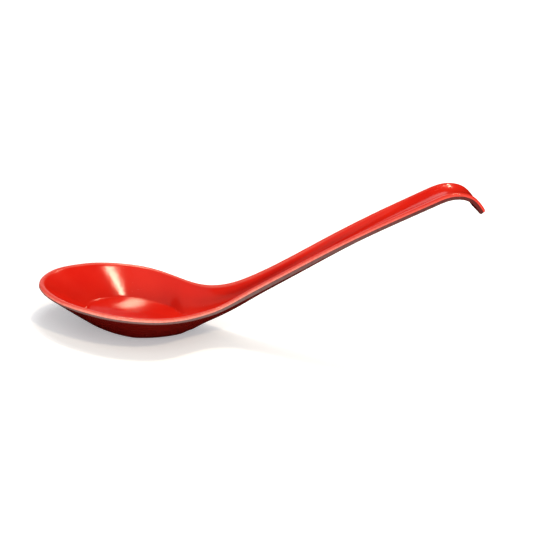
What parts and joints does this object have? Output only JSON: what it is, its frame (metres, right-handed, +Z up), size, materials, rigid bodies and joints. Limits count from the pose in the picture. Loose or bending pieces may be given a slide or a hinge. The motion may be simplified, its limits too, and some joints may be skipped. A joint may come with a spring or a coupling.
{
  "type": "two-tone ladle spoon",
  "caption": "Deep-bowled soup ladle spoon with a flat oval foot, a rising trough-shaped handle and a hooked end: a red liner bonded into a black shell.",
  "frame": {"origin": "middle of the flat foot's underside, on the surface the spoon stands on", "axes": "+X from the bowl towards the hooked end, +Z up out of the bowl, Y across the bowl; the spoon is symmetric about Y = 0"},
  "size_m": [0.2214, 0.0642, 0.0922],
  "materials": {
    "red_melamine": "glossy moulded melamine, red",
    "black_melamine": "glossy moulded melamine, black with a brown cast"
  },
  "bodies": {
    "root": {"red_liner": "red_melamine", "black_shell": "black_melamine"}
  },
  "joints": []
}
